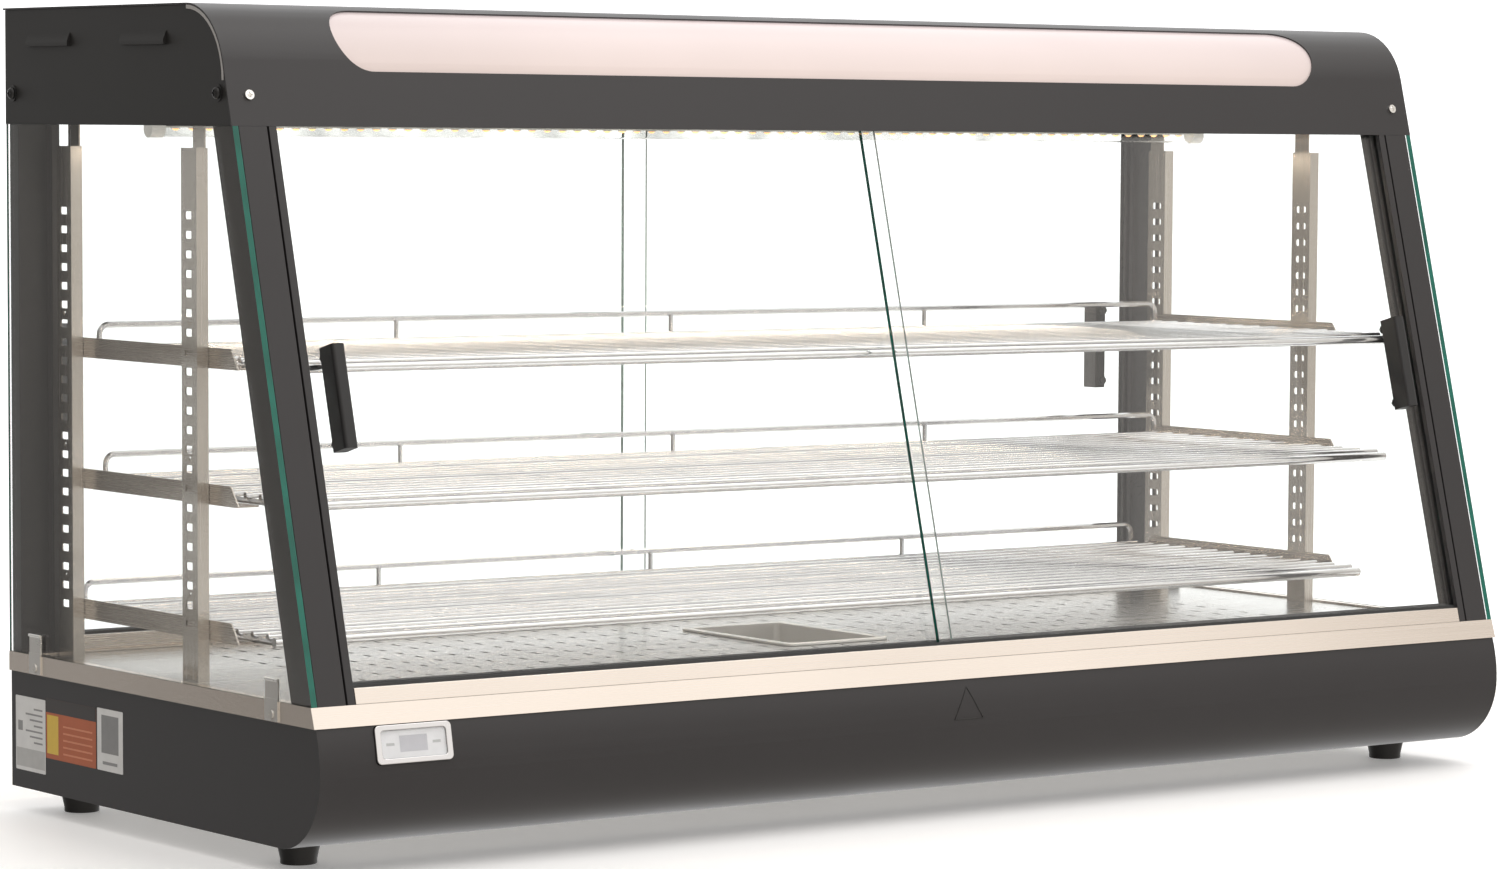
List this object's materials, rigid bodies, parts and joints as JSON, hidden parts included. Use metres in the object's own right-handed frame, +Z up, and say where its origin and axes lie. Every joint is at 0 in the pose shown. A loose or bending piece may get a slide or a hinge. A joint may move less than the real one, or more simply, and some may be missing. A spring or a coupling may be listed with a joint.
{
  "type": "hot food display case",
  "caption": "Countertop heated display case with sloping glazed front, sliding doors front and back, glass sides, wire shelves on slotted uprights and a lit canopy over a heater base",
  "frame": {"origin": "middle of the bounding box in plan, on the plane that the feet stand on", "axes": "+X along the length of the case, to the right for someone who faces the sloping front; -Y out of the sloping front towards the customer; +Z up"},
  "size_m": [1.2, 0.5034, 0.646],
  "materials": {
    "charcoal_paint": "satin charcoal powder coat",
    "black_paint": "satin black powder coat",
    "stainless": "brushed stainless steel",
    "chrome_wire": "bright chrome plating",
    "clear_glass": "clear toughened glass with green edges",
    "lamp_clear": "clear tube",
    "diffuser": "lit translucent diffuser",
    "white_plastic": "white light strip and end caps",
    "cream_plastic": "moulded cream plastic",
    "red_rocker": "translucent red rocker",
    "black_plastic": "moulded black plastic",
    "rubber_foot": "black rubber",
    "black_steel": "blackened steel",
    "heater_sheath": "heat-tinted steel sheath"
  },
  "bodies": {
    "case": {"base_pan": "stainless", "base_front_panel": "charcoal_paint", "base_side_left": "charcoal_paint", "base_side_right": "charcoal_paint", "base_rear_panel": "charcoal_paint", "worktop_rail": "stainless", "deck_plate": "stainless", "heater_elements": "heater_sheath", "fan_frame": "black_plastic", "feet": "rubber_foot", "front_sill": "stainless", "rear_sill": "stainless", "sill_gaskets": "black_plastic", "front_top_track": "charcoal_paint", "rear_top_track": "charcoal_paint", "front_posts": "charcoal_paint", "door_jambs": "charcoal_paint", "rear_posts": "charcoal_paint", "side_glass_left": "clear_glass", "side_glass_right": "clear_glass", "glass_clips": "stainless", "steel_screws": "stainless", "black_screws": "black_steel", "canopy_cover": "charcoal_paint", "canopy_window": "diffuser", "canopy_end_left": "black_paint", "canopy_end_right": "black_paint", "canopy_trims": "chrome_wire", "canopy_ceiling": "stainless", "canopy_rear_panel": "charcoal_paint", "lamp_tube": "lamp_clear", "lamp_fittings": "white_plastic", "sign_light": "white_plastic", "shelf_posts": "stainless", "shelf_brackets": "stainless", "display_bezel": "chrome_wire", "display_lens": "lamp_clear", "thermostat": "cream_plastic", "switch_frames": "black_plastic", "power_inlet": "black_plastic"},
    "front_door_left": {"front_pane_left": "clear_glass", "front_handle_left": "black_plastic", "front_bolts_left": "black_steel"},
    "front_door_right": {"front_pane_right": "clear_glass", "front_handle_right": "black_plastic", "front_bolts_right": "black_steel"},
    "rear_door_left": {"rear_pane_left": "clear_glass", "rear_handle_left": "black_plastic", "rear_bolts_left": "black_steel"},
    "rear_door_right": {"rear_pane_right": "clear_glass", "rear_handle_right": "black_plastic", "rear_bolts_right": "black_steel"},
    "fan": {"fan_rotor": "black_plastic"},
    "tray": {"water_tray": "stainless"},
    "upper_shelf": {"top_shelf": "chrome_wire"},
    "mid_shelf": {"middle_shelf": "chrome_wire"},
    "lower_shelf": {"bottom_shelf": "chrome_wire"},
    "knob": {"temp_knob": "black_plastic"},
    "power_switch": {"power_rocker": "red_rocker"},
    "light_switch": {"light_rocker": "red_rocker"}
  },
  "joints": [
    {"name": "front_left_slide", "type": "slide", "parent": "case", "child": "front_door_left", "axis": [1, 0, 0], "range_m": [0, 0.515]},
    {"name": "front_right_slide", "type": "slide", "parent": "case", "child": "front_door_right", "axis": [1, 0, 0], "range_m": [-0.515, 0]},
    {"name": "rear_left_slide", "type": "slide", "parent": "case", "child": "rear_door_left", "axis": [1, 0, 0], "range_m": [0, 0.515]},
    {"name": "rear_right_slide", "type": "slide", "parent": "case", "child": "rear_door_right", "axis": [1, 0, 0], "range_m": [-0.515, 0]},
    {"name": "fan_spin", "type": "hinge", "parent": "case", "child": "fan", "pos_m": [0, 0.01, 0.04], "axis": [0, 0, 1], "continuous": true},
    {"name": "tray_lift", "type": "slide", "parent": "case", "child": "tray", "axis": [0, 0, 1], "range_m": [0, 0.026]},
    {"name": "top_shelf_slide", "type": "slide", "parent": "case", "child": "upper_shelf", "axis": [0, 1, 0], "range_m": [-0.004, 0.045]},
    {"name": "middle_shelf_slide", "type": "slide", "parent": "case", "child": "mid_shelf", "axis": [0, 1, 0], "range_m": [-0.03, 0.02]},
    {"name": "bottom_shelf_slide", "type": "slide", "parent": "case", "child": "lower_shelf", "axis": [0, 1, 0], "range_m": [-0.07, 0.004]},
    {"name": "knob_turn", "type": "hinge", "parent": "case", "child": "knob", "pos_m": [-0.43, 0.2383, 0.0665], "axis": [0, 1, 0], "range_deg": [0, 270]},
    {"name": "power_switch_tip", "type": "hinge", "parent": "case", "child": "power_switch", "pos_m": [-0.33, 0.2353, 0.0665], "axis": [0, 0, 1], "range_deg": [-12, 0]},
    {"name": "light_switch_tip", "type": "hinge", "parent": "case", "child": "light_switch", "pos_m": [-0.28, 0.2353, 0.0665], "axis": [0, 0, 1], "range_deg": [-12, 0]}
  ]
}
